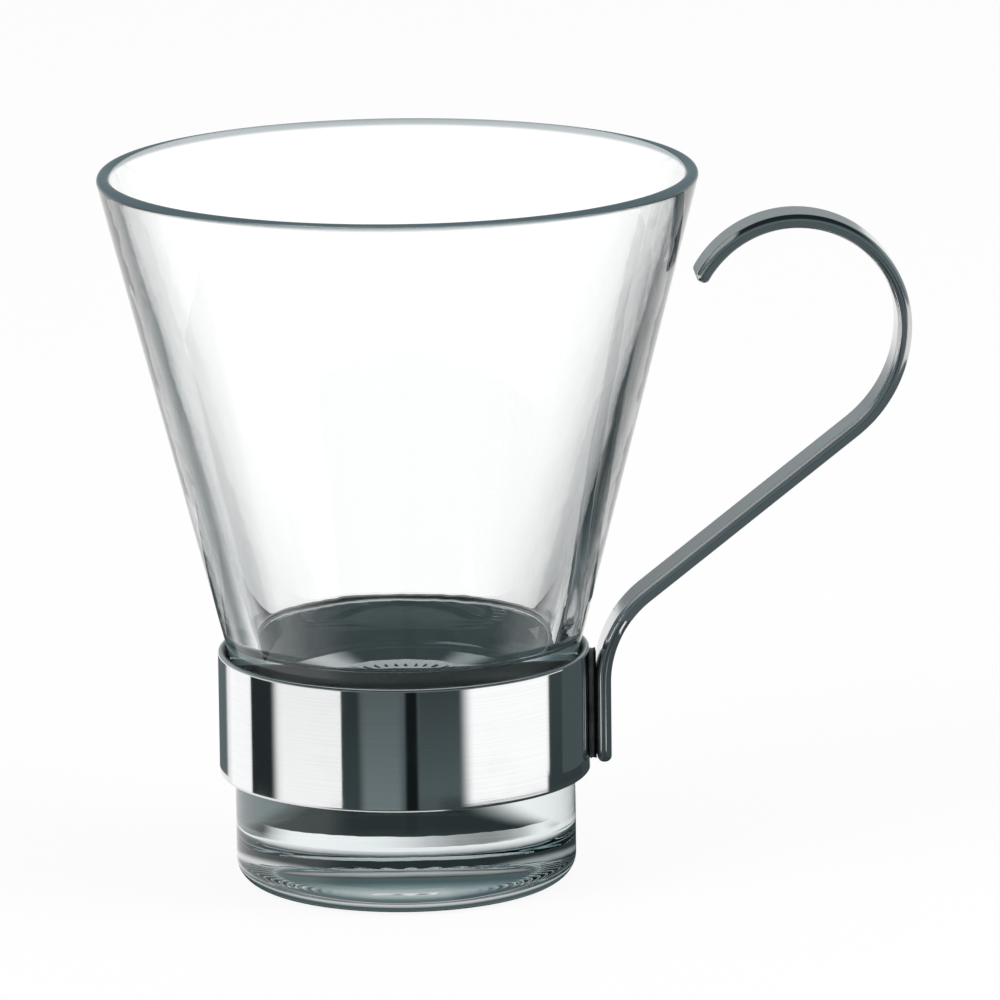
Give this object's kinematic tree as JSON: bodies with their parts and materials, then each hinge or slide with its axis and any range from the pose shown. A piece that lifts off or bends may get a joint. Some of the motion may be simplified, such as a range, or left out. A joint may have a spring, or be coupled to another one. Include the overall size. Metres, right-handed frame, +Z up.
{
  "type": "glass demitasse cup",
  "caption": "Small conical glass cup with a heavy solid foot, standing in a polished steel band that carries an S-curved flat strip handle with a free tip.",
  "frame": {"origin": "on the table, under the middle of the whole cup with its handle; the glass's axis stands on the -X side of it", "axes": "+Z up along the glass's axis, +X towards the handle, +Y across the handle strip"},
  "size_m": [0.0894, 0.066, 0.0797],
  "materials": {
    "glass": "clear pressed glass, fire polished",
    "band": "mirror polished stainless steel",
    "saddle": "brazed steel, darkened",
    "handle": "polished stainless steel strip with rounded edges"
  },
  "bodies": {
    "holder": {"band": "band", "saddle": "saddle", "handle": "handle"},
    "glass": {"glass": "glass"}
  },
  "joints": [
    {"name": "glass_lift", "type": "slide", "parent": "holder", "child": "glass", "axis": [0, 0, 1], "range_m": [0, 0.03]}
  ]
}
